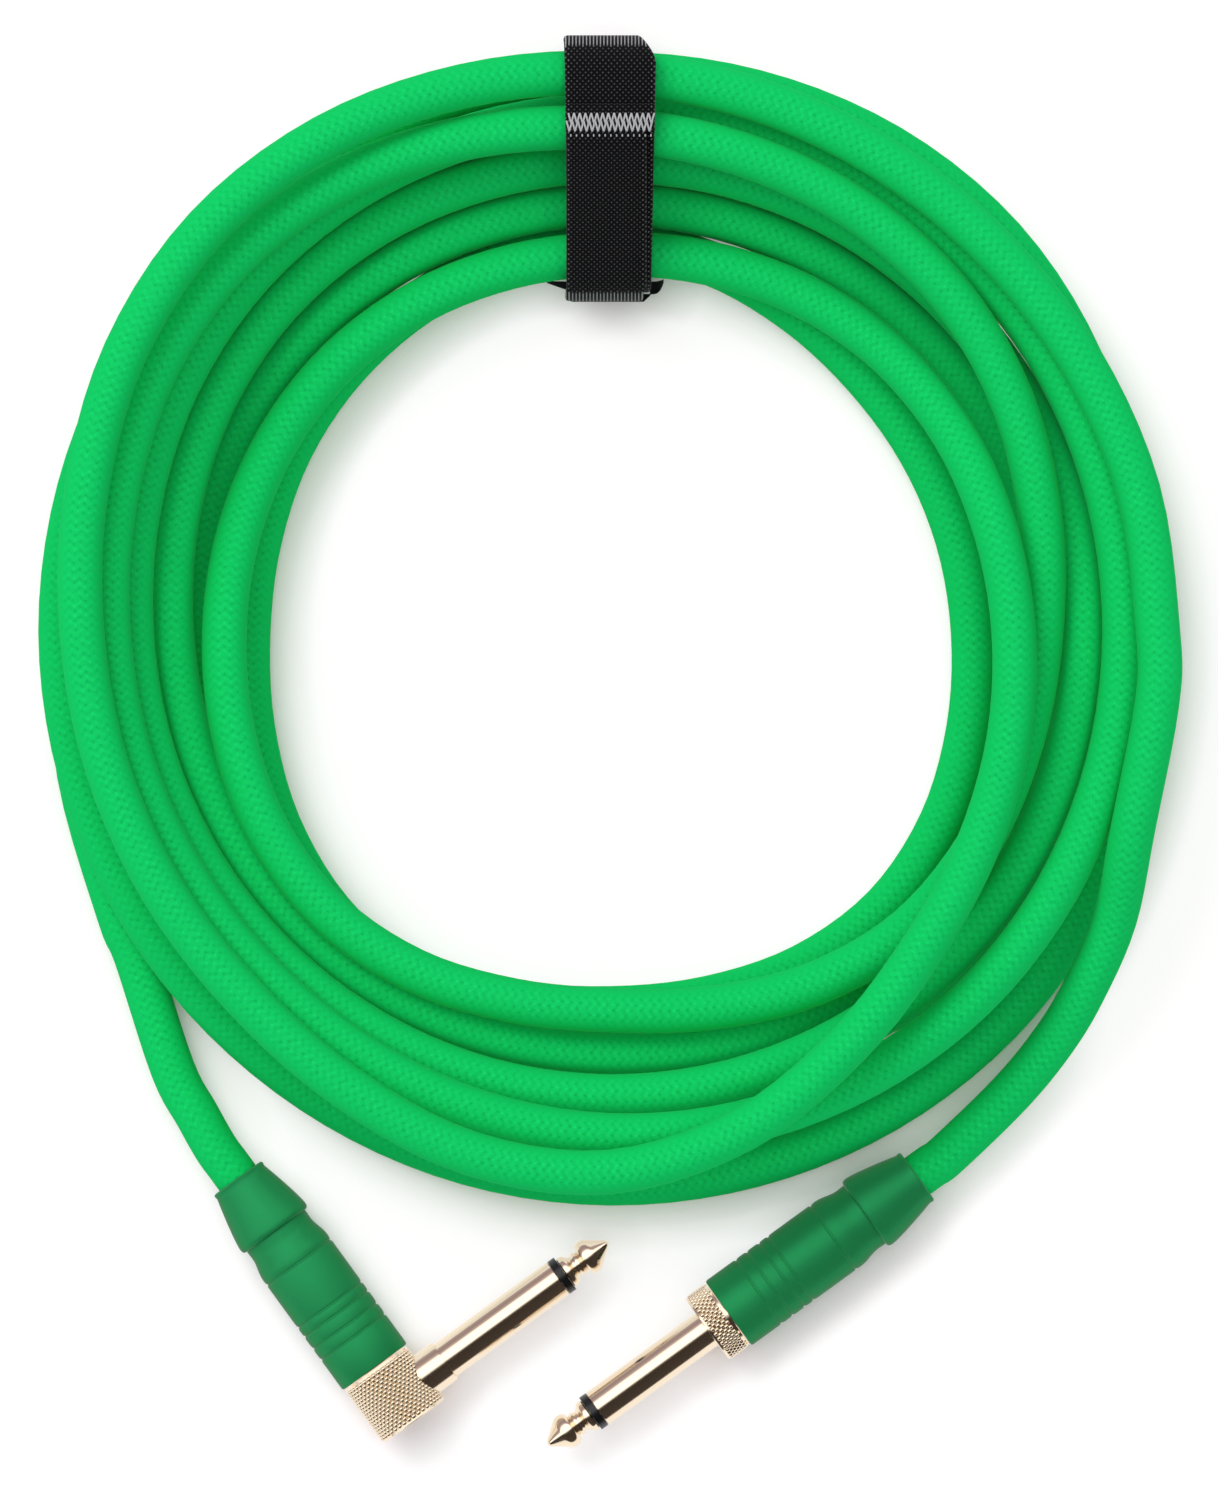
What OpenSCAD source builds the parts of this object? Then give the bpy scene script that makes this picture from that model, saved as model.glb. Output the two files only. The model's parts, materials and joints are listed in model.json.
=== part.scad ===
// Instrument cable, straight plug to right-angle plug, coiled and held by a hook-and-loop tie.
// Millimetres, +Z up, lying on the plane z = 0. A plug's own frame has X along its shell,
// from the rear face of the boot towards the jack.

/* [Cord] */
// Diameter over the clear jacket
cord_d = 7.2; // [6.8:0.1:7.2]
// Space kept between neighbouring turns of the coil
turn_gap = 0.8; // [0.6:0.1:1.2]

/* [Boot] */
// Length of the boot outside the shell
boot_len = 10.5; // [9.5:0.1:11.5]
// Radius of the boot at the cord's end
boot_rear_r = 4.7; // [4.6:0.05:5.2]
// Largest radius of the boot
boot_r = 6.5; // [6.45:0.05:7]
// Radial space between the cord and the boot's bore
cord_clear = 0.3; // [0.2:0.05:0.4]
// Length of the boot's spigot inside the shell
spigot_len = 3.6; // [2.5:0.1:4]

/* [Shell] */
// Length of the shell
shell_len = 27.1; // [26.6:0.1:28.5]
// Radius of the shell's body
shell_r = 6.4; // [6.35:0.05:6.45]
// Radius of the waist behind the body
waist_r = 5.8; // [5.7:0.05:6]
// Wall of the shell's body
shell_wall = 1; // [0.9:0.05:1.05]
// Depth of the turned grooves
groove_depth = 0.28; // [0.15:0.01:0.4]
// Width of the turned grooves
groove_w = 0.7; // [0.4:0.05:0.9]
// Length of the collar's thread
thread_len = 6; // [5:0.1:6.2]

/* [Collar and head] */
// Length of the straight plug's collar in front of the shell
collar_len = 4.2; // [3.6:0.1:5]
// Radius over the knurl of the collar and the head
knurl_r = 6.15; // [6:0.05:6.3]
// Number of knurl teeth
knurl_count = 40; // [30:1:60]
// Depth of the knurl
knurl_depth = 0.28; // [0.15:0.01:0.4]
// Length of the smooth rim behind the knurl
rim_len = 0.6; // [0.4:0.05:1]
// Length of the right-angle head in front of the shell
head_len = 10.7; // [10.4:0.1:12]
// Distance from the shell's front face to the shank's axis
shank_at = 5.8; // [5.6:0.05:6]
// Radius of the bore inside the right-angle head
head_bore_r = 4.2; // [4.15:0.05:4.25]
// Distance from the head's axis to the end of the shank's step
step_reach = 9.8; // [9:0.1:11]
// Radius of the step at the foot of the right-angle shank
step_r = 3.65; // [3.5:0.05:3.9]

/* [Jack] */
// Diameter of the jack's sleeve
jack_d = 6.35; // [6.3:0.01:6.35]
// Length of the sleeve in front of the collar
sleeve_len = 21.9; // [20:0.1:24]
// Length of the sleeve in front of the right-angle head's step
angled_sleeve_len = 22.6; // [20:0.1:24]
// Width of the insulating ring
ring_len = 1.3; // [1:0.1:1.6]
// Length of the tip in front of the ring
tip_len = 8.5; // [8.2:0.1:9]
// Radius of the tip's neck
tip_neck_r = 1.7; // [1.5:0.05:1.9]
// Radius of the tip's bulb
tip_bulb_r = 2.85; // [2.6:0.05:3]
// Radius of the rod behind the tip
rod_r = 1.2; // [1:0.05:1.25]
// Outer radius of the insulating tube on the rod
tube_r = 2; // [1.8:0.05:2.1]

/* [Inner pieces] */
// Depth of the cord inside the plug, from the boot's rear face
cord_depth = 20.5; // [19.5:0.1:21.5]
// Length of the strain clamp on the cord
clamp_len = 4; // [3:0.1:4.5]
// Thickness of the clamp's metal
clamp_t = 0.8; // [0.6:0.05:0.8]
// Radius of the core wire's insulation
core_r = 0.9; // [0.7:0.05:0.95]
// Radius of the twisted screen
screen_r = 0.55; // [0.4:0.05:0.6]
// Wall of the paper liner
liner_t = 0.4; // [0.3:0.05:0.45]

/* [Tie] */
// Width of the strap
tie_w = 15; // [13:0.5:16]
// Thickness of one layer of the strap
tie_t = 1.2; // [1:0.05:1.4]
// Width of the strap's slotted head
eye_w = 18.5; // [17.5:0.5:20]
// Height of the slotted head
eye_h = 7; // [6:0.5:8]
// Length of the upper layer's woven end
end_len = 4.4; // [3:0.2:6]

/* [Hidden] */
$fn = 72;

cord_green = "#12C85A";
shell_green = "#178046";
gold = "#E3C08F";
black = "#1B1B1D";
steel = "#B9BBB8";

// Space between flat faces that seat on each other
seat = 0.05;
// Radial space of fitted round pieces
fit = 0.05;
// Radial space of the thread, drawn as plain cylinders
run = 0.08;

cord_r = cord_d/2;
jack_r = jack_d/2;
// The sleeve is a little thinner where the collar or the head holds it
stem_r = jack_r - 0.25;
cord_bore = cord_r + cord_clear;
// Stations along the plug
shell_at = boot_len + 2*seat;
front_at = shell_at + shell_len;
collar_at = front_at + 2*seat;
thread_at = front_at - thread_len;
inner_r = shell_r - shell_wall;
thread_r = inner_r - run;
spigot_r = inner_r - 0.8;
ledge_at = boot_len + spigot_len + 4*seat;
clamp_ring_at = thread_at - seat - 1;
groove_at = [6.2, 14.7, 16.5, 18.9, 21.1];
// Height of both plugs' axes, so that the boots rest on the plane
axis_z = boot_r;

// Middle of the coil in the frame of the whole part
home = [5.77, 17.84];
// Rear face of each boot, seen from the middle of the coil, and the way each plug points
straight_pos = [49.6, -87.8];
straight_turn = 216;
angled_pos = [-60.1, -88.1];
angled_turn = -54;

// Profile turned about the plug's axis, points are [radius, station]
module turned(points) rotate([0, 90, 0]) rotate_extrude() polygon(points);
// Round bar or tube along the plug's axis
module bar(from, to, r, bore = 0) turned([[bore, from], [r, from], [r, to], [bore, to]]);
module place(pos, turn) translate([home[0] + pos[0], home[1] + pos[1], axis_z])
  rotate([0, 0, turn]) children();
module straight() place(straight_pos, straight_turn) children();
module angled() place(angled_pos, angled_turn) children();
// The shank of the right-angle plug has its own X, square to the shell
module shank() angled() translate([front_at + shank_at, 0, 0]) rotate([0, 0, 90]) children();

function ease(a, b, t) = a + (b - a)*(1 - cos(180*t))/2;
function unit(v) = v/norm(v);

// ---- Jack, shared by both plugs: tip, ring, tube and sleeve ----

// Turned tip: flare at the ring, waist, bulb and point, with its rod behind
module jack_tip(at, rod_from) color(gold) turned(concat(
  [[0, rod_from], [rod_r, rod_from], [rod_r, at]],
  [for (i = [0:6]) [ease(jack_r - 0.42, tip_neck_r, i/6), at + 1.4*i/6]],
  [for (i = [0:8]) [ease(tip_neck_r, tip_bulb_r, i/8), at + 2.3 + 2.7*i/8]],
  [[tip_bulb_r - 0.05, at + 5.35], [tip_bulb_r - 0.25, at + 5.65]],
  [[0.55, at + tip_len - 0.35], [0.3, at + tip_len - 0.1], [0, at + tip_len]]));
module jack_ring(at) color(black)
  turned([[rod_r + fit, at], [jack_r - 0.01, at], [jack_r - 0.01, at + ring_len - seat],
    [rod_r + fit, at + ring_len - seat]]);
module jack_tube(from, to) color(black) bar(from, to, tube_r, rod_r + fit);
module jack_sleeve(from, shoulder, to) color(gold)
  turned([[tube_r + fit, from], [stem_r, from], [stem_r, shoulder], [jack_r, shoulder],
    [jack_r, to - 0.25], [jack_r - 0.2, to], [tube_r + fit, to]]);
module jack_washer(from, to, r) color(black) bar(from, to, r, rod_r + fit);
module jack_lug(from, to, r) color(steel) bar(from, to, r, rod_r + fit);

// ---- Knurled metal, threaded spigot behind it ----
knurl_points = [for (i = [0:2*knurl_count - 1])
  let (r = knurl_r - (i % 2)*knurl_depth, a = 180*i/knurl_count) [r*cos(a), r*sin(a)]];
module knurl(from, to) translate([from, 0, 0]) rotate([0, 90, 0])
  linear_extrude(to - from) polygon(knurl_points);
core_end_r = knurl_r - knurl_depth - 0.1;
module knurled_body(end) {
  turned([[0, thread_at], [thread_r, thread_at], [thread_r, collar_at], [core_end_r, collar_at],
    [core_end_r, end - 0.4], [core_end_r - 0.4, end], [0, end]]);
  knurl(collar_at + rim_len, end - 0.5);
}

// ---- Pieces inside the shell, shared by both plugs ----

// Ring behind the thread, an arm along the wall, and the crimp round the cord
module ground_clamp() color(steel) {
  difference() {
    union() {
      bar(clamp_ring_at, clamp_ring_at + 1, thread_r - 0.3);
      translate([cord_depth - clamp_len/2, -1.2, -cord_r - fit - clamp_t])
        cube([clamp_ring_at + 0.5 - cord_depth + clamp_len/2, 2.4, clamp_t]);
      bar(cord_depth - clamp_len, cord_depth - 0.5, cord_r + fit + clamp_t);
    }
    bar(cord_depth - clamp_len - 1, cord_depth, cord_r + fit);
    bar(clamp_ring_at - 1, clamp_ring_at + 2, tube_r + 0.3);
  }
}
module core_wire(to) color("#E8E4DA") bar(cord_depth + seat, to, core_r);
// The tip lug reaches this far behind the ground ring
lug_depth = 3.1;
module screen_tail() color("#C98A5A") translate([0, 0, -cord_r - fit + screen_r + seat])
  bar(cord_depth + seat, clamp_ring_at - lug_depth - 0.7, screen_r);
module liner() color("#D8D2C0")
  bar(ledge_at + 0.5, clamp_ring_at - 0.2, inner_r - 0.15, inner_r - 0.15 - liner_t);

// ---- Shell and boot, shared by both plugs ----
module shell() color(shell_green) turned(concat(
  [[spigot_r + run, shell_at], [waist_r, shell_at]],
  [for (i = [0:8]) [ease(waist_r - 0.05, shell_r, i/8), shell_at + 1.4 + 3.8*i/8]],
  [for (g = groove_at) each [[shell_r, shell_at + g - groove_w/2],
    [shell_r - groove_depth, shell_at + g], [shell_r, shell_at + g + groove_w/2]]],
  [[shell_r, front_at - 0.35], [shell_r - 0.3, front_at], [inner_r, front_at],
    [inner_r, ledge_at], [spigot_r + run, ledge_at]]));
module boot() color(shell_green) turned(concat(
  [[cord_bore, 0.4], [cord_bore + 0.3, 0], [boot_rear_r - 0.35, 0], [boot_rear_r, 0.35]],
  [for (i = [0:6]) [boot_r - (boot_r - boot_rear_r)*pow(1 - i/6, 1.25),
    0.9 + (boot_len - 1.9)*i/6]],
  [[boot_r - 0.12, boot_len - 0.5], [waist_r, boot_len], [spigot_r, boot_len],
    [spigot_r, boot_len + spigot_len], [cord_bore, boot_len + spigot_len]]));

// ---- Straight plug ----
sleeve_end = collar_at + collar_len + sleeve_len;
module straight_tip() straight() jack_tip(sleeve_end + seat + ring_len, clamp_ring_at - 3);
module straight_ring() straight() jack_ring(sleeve_end + seat);
module straight_rod_tube() straight() jack_tube(clamp_ring_at, sleeve_end);
module straight_sleeve() straight()
  jack_sleeve(thread_at + 1, collar_at + collar_len + seat, sleeve_end);
module straight_collar() color(gold) straight() difference() {
  knurled_body(collar_at + collar_len);
  bar(thread_at - 1, collar_at + collar_len + 1, stem_r + fit);
}
module straight_back_washer() straight() jack_washer(clamp_ring_at - 1.1, clamp_ring_at - seat, jack_r + 0.35);
module straight_tip_lug() straight() jack_lug(clamp_ring_at - lug_depth, clamp_ring_at - 1.15, 2.1);
module straight_ground_clamp() straight() ground_clamp();
module straight_core_wire() straight() core_wire(clamp_ring_at - lug_depth - seat);
module straight_screen_tail() straight() screen_tail();
module straight_liner() straight() liner();
module straight_shell() straight() shell();
module straight_boot() straight() boot();

// ---- Right-angle plug ----
shank_end = step_reach + angled_sleeve_len;
module angled_tip() shank() jack_tip(shank_end + seat + ring_len, core_r + 0.2);
module angled_ring() shank() jack_ring(shank_end + seat);
module angled_rod_tube() shank() jack_tube(core_r + 2.35, shank_end);
module angled_sleeve() shank() jack_sleeve(head_bore_r - 0.6, step_reach + seat, shank_end);
module angled_head() color(gold) difference() {
  union() {
    angled() knurled_body(collar_at + head_len);
    shank() turned([[0, head_bore_r + 0.6], [step_r, head_bore_r + 0.6],
      [step_r, step_reach - 0.2], [step_r - 0.2, step_reach], [0, step_reach]]);
  }
  angled() bar(thread_at - 1, front_at + shank_at + head_bore_r - 1.2, head_bore_r);
  shank() bar(0, step_reach + 1, stem_r + fit);
}
module angled_back_washer() shank() jack_washer(core_r + 1.45, core_r + 2.3, 2.4);
module angled_tip_lug() shank() jack_lug(core_r + 0.4, core_r + 1.4, 1.9);
module angled_ground_clamp() angled() ground_clamp();
module angled_core_wire() angled() core_wire(front_at + shank_at + rod_r);
module angled_screen_tail() angled() screen_tail();
module angled_liner() angled() liner();
module angled_shell() angled() shell();
module angled_boot() angled() boot();

// ---- Coil ----
// Reach from the middle at each eighth of a turn, from the bottom round by the left, a row a turn
reach = [112, 95.2, 87, 88, 89, 87, 87, 89,
  89, 88.2, 88.6, 88.8, 89.9, 89.6, 82.5, 77.5,
  67.7, 63.8, 58.4, 60.4, 62.9, 58.3, 58.6, 62.7,
  60.7, 64.8, 66.5, 68.5, 69, 69.5, 72, 71,
  67.9, 68.5, 70.6, 75.2, 75.9, 76.3, 76.2, 75.6,
  74.8, 75, 77, 81.6, 83.3, 83.6, 82.8, 83,
  81, 78.6, 80.6, 85.3, 80.8, 77.2, 69.4, 67.8,
  60.9, 64, 62.1, 61.8, 60.9, 63.4, 64.9, 71.4,
  86.8, 83, 84.8, 91.7, 89.8, 87.2, 88.1, 85.5];
// Rings in one turn, clock angle of the first ring, and the last ring's number
turn_rings = 24;
first_angle = 240;
last_ring = 206;
// Height that the strap's lower layer lifts the turns, and the angles over which that fades
flat = cos(30);
fade_from = 8;
fade_over = 30;
tie_lift = tie_t + cord_r*(1 - flat) + 0.4;
turn_step = cord_d + turn_gap;

function spline(a, b, c, d, t) =
  0.5*(2*b + (c - a)*t + (2*a - 5*b + 4*c - d)*t*t + (3*b - a - 3*c + d)*t*t*t);
function pick(v, i) = v[min(max(i, 0), len(v) - 1)];
function clock(i) = first_angle + 360*i/turn_rings;
function out(i) = let (t = (clock(i) - 180)/45, k = floor(t))
  spline(pick(reach, k - 1), pick(reach, k), pick(reach, k + 1), pick(reach, k + 2), t - k);
function bed(i) = let (c = abs((clock(i) + 180) % 360 - 180),
  f = min(max((c - fade_from)/fade_over, 0), 1))
  cord_r*flat + tie_lift*(1 + cos(180*f))/2;
// Height of a turn once its neighbours along the cord have carried it
function high(z, i) = max(pick(z, i - 1), pick(z, i), pick(z, i + 1));
function lying(z, i) = (high(z, i - 1) + 2*high(z, i) + high(z, i + 1))/4;
// Each ring rests on the bed or on the turns laid before it at the same clock angle
function rest_on(z, i) = max(concat([bed(i)], [for (j = [i - turn_rings:-turn_rings:0])
  let (s = abs(out(i) - out(j))) if (s < turn_step)
    lying(z, j) + sqrt(turn_step*turn_step - s*s)]));
function pile(z) = len(z) > last_ring ? z : pile(concat(z, [rest_on(z, len(z))]));
function coil_points() = let (z = pile([])) [for (i = [0:last_ring])
  [home[0] + out(i)*sin(clock(i)), home[1] + out(i)*cos(clock(i)), lying(z, i)]];
// Both ends run straight for one diameter, along the coil's own direction there
function spot(i) = [out(i)*sin(clock(i)), out(i)*cos(clock(i)), 0];
function along(i) = unit(spot(i + 0.01) - spot(i - 0.01));
function with_ends(p) =
  concat([p[0] - cord_d*along(0)], p, [p[last_ring] + cord_d*along(last_ring)]);

// Least distance between stretches of a route that are over six diameters apart along it
function between(p, steps) = [for (i = [0:len(p) - 2]) for (k = [0:steps - 1])
  p[i] + (p[i + 1] - p[i])*k/steps];
function least_gap(p) = min([for (i = [0:len(p) - 1]) for (j = [i + 12:1:len(p) - 1])
  if (abs(p[i][0] - p[j][0]) + abs(p[i][1] - p[j][1]) < 2*turn_step) norm(p[i] - p[j])]);

// Tube along a route: sides of one ring face up and down
module tube(p, sides, r) {
  n = len(p);
  ahead = [for (i = [0:n - 1]) unit(p[min(i + 1, n - 1)] - p[max(i - 1, 0)])];
  ring = [for (i = [0:n - 1]) let (u = unit(cross([0, 0, 1], ahead[i])), v = cross(ahead[i], u))
    for (k = [0:sides - 1]) let (a = 360*(k + (sides == 8 ? 0.5 : 0))/sides)
      p[i] + r*(cos(a)*u + sin(a)*v)];
  wall = [for (i = [0:n - 2]) for (k = [0:sides - 1])
    let (a = i*sides + k, b = i*sides + (k + 1) % sides, c = a + sides, d = b + sides)
      each [[a, d, b], [a, c, d]]];
  near_end = [for (k = [1:sides - 2]) [0, k, k + 1]];
  far_end = [for (k = [1:sides - 2]) let (m = (n - 1)*sides) [m, m + k + 1, m + k]];
  polyhedron(concat(ring), concat(wall, near_end, far_end), convexity = 10);
}

module cord_coil() {
  p = with_ends(coil_points());
  echo(coil_least_gap = least_gap(between(p, 3)) - cord_d, turns = last_ring/turn_rings,
    top = max([for (q = p) q[2]]) + cord_r);
  color(cord_green) tube(p, 6, cord_r);
}

// ---- Leads ----
// Points on each lead between the coil and its boot, seen from the middle of the coil
straight_lead = [[84.1, -31.8, 24], [81.3, -46.2, 17], [76.4, -57.7, 12.5], [71.6, -65.8, 9.2],
  [64.8, -74.2, 7.2]];
angled_lead = [[-70.6, -70.5, 5], [-66.6, -78, 6.2]];
function heading(turn) = [cos(turn), sin(turn), 0];
function world(q) = [home[0] + q[0], home[1] + q[1], q[2]];
function smooth(p, steps) = concat([for (i = [0:len(p) - 2]) for (k = [0:steps - 1])
  spline(pick(p, i - 1), p[i], p[i + 1], pick(p, i + 2), k/steps)], [p[len(p) - 1]]);
// From the coil's end face, through the chosen points, straight into the plug
function lead_route(face, ahead, points, pos, turn) =
  let (rear = [home[0] + pos[0], home[1] + pos[1], axis_z], h = heading(turn))
  let (start = [face[0], face[1], max(face[2], cord_r*cos(22.5))])
  concat([start + seat*ahead], smooth(concat([start + cord_d*ahead],
    [for (q = points) world(q)], [rear - 6*h]), 2), [rear - 2*h, rear + cord_depth*h]);
function straight_route() = let (p = with_ends(coil_points()), n = len(p) - 1)
  lead_route(p[n], unit(p[n] - p[n - 1]), straight_lead, straight_pos, straight_turn);
function angled_route() = let (p = with_ends(coil_points()))
  lead_route(p[0], unit(p[0] - p[1]), angled_lead, angled_pos, angled_turn);
function apart(a, b) = min([for (q = a) for (s = b) norm(q - s)]);

module cord_straight_lead() {
  p = straight_route();
  coil = between(with_ends(coil_points()), 3);
  echo(straight_lead_gap = apart(between([for (i = [3:len(p) - 1]) p[i]], 4),
    [for (i = [0:len(coil) - 12]) coil[i]]) - cord_d, rings = len(p));
  color(cord_green) tube(p, 8, cord_r);
}
module cord_angled_lead() {
  p = angled_route();
  coil = between(with_ends(coil_points()), 3);
  echo(angled_lead_gap = apart(between([for (i = [3:len(p) - 1]) p[i]], 4),
    [for (i = [12:len(coil) - 1]) coil[i]]) - cord_d, rings = len(p));
  color(cord_green) tube(p, 8, cord_r);
}

// ---- Hook-and-loop tie ----
// Corners of the bundle under the strap, as [y, z] of the cords that it bears on
corners = [[60, cord_r + tie_t + 0.4], [90.7, cord_r + tie_t + 0.4], [90.7, 27.2], [80.6, 26.8],
  [60, 14.4]];
inside = cord_r + 0.4;
// Outline at a distance from the corners, round at each of them
function normal(a, b) = let (d = unit(b - a)) atan2(-d[0], d[1]);
function wrap(r, steps) = [for (i = [0:len(corners) - 1])
  let (m = len(corners), c = corners[i], a = normal(corners[(i + m - 1) % m], c),
    b = normal(c, corners[(i + 1) % m]), s = (b - a + 720) % 360)
  for (k = [0:steps]) [c[0] + r*cos(a + s*k/steps), c[1] + r*sin(a + s*k/steps)]];
module strap(w, points) translate([home[0] - w/2, home[1], 0]) rotate([90, 0, 90])
  linear_extrude(w) polygon(points);
module tie_band() color(black) translate([home[0] - tie_w/2, home[1], 0]) rotate([90, 0, 90])
  linear_extrude(tie_w) difference() {
    polygon(wrap(inside + tie_t, 6));
    polygon(wrap(inside, 6));
  }
// The slotted head lies against the band on the side of the coil's eye
eye_y = corners[0][0] - inside - 2*tie_t - 0.3;
eye_top = corners[4][1] - 3;
module tie_eye() color(black) difference() {
  strap(eye_w, [[eye_y, eye_top - eye_h], [eye_y + tie_t, eye_top - eye_h],
    [eye_y + tie_t, eye_top], [eye_y, eye_top]]);
  strap(tie_w + 0.6, [[eye_y - 1, eye_top - 3.2], [eye_y + tie_t + 1, eye_top - 3.2],
    [eye_y + tie_t + 1, eye_top - 1.6], [eye_y - 1, eye_top - 1.6]]);
}
// Upper layer: folds at the head, lies up the band's slope and over the next corner
slope = normal(corners[3], corners[4]);
crest = normal(corners[2], corners[3]);
lift = inside + tie_t + 0.3;
function bend(c, r, from, to, steps) = [for (k = [0:steps])
  let (a = from + (to - from)*k/steps) c + r*[cos(a), sin(a)]];
function layer(r) = concat([corners[4] + [-r, -1.5]], bend(corners[4], r, 180, slope, 6),
  bend(corners[3], r, slope, crest, 3));
function over(r, along) = corners[3] + r*[cos(crest), sin(crest)]
  + along*[sin(crest), -cos(crest)];
function backwards(v) = [for (i = [len(v) - 1:-1:0]) v[i]];
module tie_tail() color(black)
  strap(tie_w, concat(layer(lift + tie_t), backwards(layer(lift))));
module tie_end() color("#6A6A6E") strap(tie_w, [over(lift + tie_t, seat),
  over(lift + tie_t, end_len), over(lift, end_len), over(lift, seat)]);

cord_coil();
cord_straight_lead();
cord_angled_lead();
straight_tip();
straight_ring();
straight_rod_tube();
straight_sleeve();
straight_collar();
straight_back_washer();
straight_tip_lug();
straight_ground_clamp();
straight_core_wire();
straight_screen_tail();
straight_liner();
straight_shell();
straight_boot();
angled_tip();
angled_ring();
angled_rod_tube();
angled_sleeve();
angled_head();
angled_back_washer();
angled_tip_lug();
angled_ground_clamp();
angled_core_wire();
angled_screen_tail();
angled_liner();
angled_shell();
angled_boot();
tie_band();
tie_eye();
tie_tail();
tie_end();
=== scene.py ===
"""Instrument cable: straight and right-angle jack plugs, coiled cord, hook-and-loop tie.

Lengths in this file are millimetres in the part's own frame, +Z up; M turns them to metres.
"""
import json
import math
import bpy
from mathutils import Matrix, Vector


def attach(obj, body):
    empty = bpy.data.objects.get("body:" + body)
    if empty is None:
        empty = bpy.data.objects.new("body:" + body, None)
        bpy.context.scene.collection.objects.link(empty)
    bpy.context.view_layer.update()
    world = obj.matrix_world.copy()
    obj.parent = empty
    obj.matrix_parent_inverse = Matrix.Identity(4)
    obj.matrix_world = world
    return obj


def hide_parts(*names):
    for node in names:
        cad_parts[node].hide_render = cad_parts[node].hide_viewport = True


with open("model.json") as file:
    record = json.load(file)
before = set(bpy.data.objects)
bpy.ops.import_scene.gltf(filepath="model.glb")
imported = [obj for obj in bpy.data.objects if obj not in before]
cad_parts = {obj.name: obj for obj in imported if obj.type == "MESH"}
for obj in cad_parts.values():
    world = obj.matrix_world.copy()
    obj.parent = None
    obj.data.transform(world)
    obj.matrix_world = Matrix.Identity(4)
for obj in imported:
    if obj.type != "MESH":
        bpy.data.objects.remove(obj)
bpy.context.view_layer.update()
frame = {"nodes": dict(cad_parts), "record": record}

M = 0.001
UP = Vector((0, 0, 1))
FULL_TURN = 2 * math.pi


def put(name, data):
    """An object for the data, in the scene."""
    made = bpy.data.objects.new(name, data)
    bpy.context.collection.objects.link(made)
    return made


def limit(value):
    """The value, held between 0 and 1."""
    return min(max(value, 0), 1)


# ---------------------------------------------------------------- camera and light

VIEW_MM = (5.6, -1.2)          # middle of the view on the floor
VIEW_HIGH = 241.9              # height of the view, at VIEW_LEVEL above the floor
VIEW_LEVEL = 10
CAMERA_UP = 6000.0
SENSOR = 24


def look_down():
    """Camera straight above, far enough away to keep the plugs' true outline."""
    lens = bpy.data.cameras.new("camera")
    lens.sensor_fit = "VERTICAL"
    lens.sensor_height = SENSOR
    lens.lens = SENSOR * (CAMERA_UP - VIEW_LEVEL) / VIEW_HIGH
    lens.clip_start = 0.1
    lens.clip_end = 20
    camera = put("camera", lens)
    camera.location = (VIEW_MM[0] * M, VIEW_MM[1] * M, CAMERA_UP * M)
    bpy.context.scene.camera = camera


def add_sun(name, towards, strength, softness):
    """Soft lamp: towards is the way from the object to the lamp."""
    lamp = bpy.data.lights.new(name, "SUN")
    lamp.energy = strength
    lamp.angle = math.radians(softness)
    holder = put(name, lamp)
    holder.rotation_euler = Vector(towards).to_track_quat("Z", "Y").to_euler()
    # the polished metal mirrors the world's cards, and the lamps only light
    holder.visible_glossy = False


look_down()
add_sun("softbox_left", (-0.55, 0.65, 0.95), 1.35, 34)
add_sun("softbox_top", (0.1, -0.1, 1.0), 0.62, 40)
bpy.context.scene.view_settings.view_transform = "Standard"


# ---------------------------------------------------------------- node helpers

def linear(hex_colour):
    """sRGB hex to linear RGBA."""
    parts = [int(hex_colour[i:i + 2], 16) / 255 for i in (1, 3, 5)]
    return tuple(c / 12.92 if c <= 0.04045 else ((c + 0.055) / 1.055) ** 2.4
                 for c in parts) + (1.0,)


def add(tree, kind, feeds=None, **settings):
    """Add a node with its settings; feeds maps its inputs to nodes, sockets or values.

    A node stands for its first output.
    """
    made = tree.nodes.new(kind)
    for key, value in settings.items():
        setattr(made, key, value)
    for key, value in (feeds or {}).items():
        if isinstance(value, bpy.types.Node):
            value = value.outputs[0]
        if isinstance(value, bpy.types.NodeSocket):
            tree.links.new(value, made.inputs[key])
        else:
            made.inputs[key].default_value = value
    return made


def start(name, **values):
    """A material with its shader's own sockets set."""
    material = bpy.data.materials.new(name)
    material.use_nodes = True
    shader = material.node_tree.nodes["Principled BSDF"]
    for key, value in values.items():
        shader.inputs[key.replace("_", " ")].default_value = value
    return material, material.node_tree, shader


def stops(ramp, *pairs):
    """Colours of a ramp as (place, hex)."""
    band = ramp.color_ramp
    while len(band.elements) < len(pairs):
        band.elements.new(0.5)
    for element, (place, colour) in zip(band.elements, pairs):
        element.position = place
        element.color = linear(colour)
    return ramp.outputs[0]


# ---------------------------------------------------------------- studio

WHITE = (1, 1, 1, 1)
SURROUND = 0.5                  # light from all around
CARD_GLOW = 1.6                 # brightness of the cards in the metal
CARD_SIDE = (-0.588, 0.809, 0)  # the way to the softbox that the metal mirrors
SHADE_SIDE = (-0.5, 0.6, 0.62)  # the paper is in shade where something hides this way
SHADE_NEAR = 9.0
FLOOR_GLOW = 1.14
GLOW_SHARE = 0.68


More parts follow.
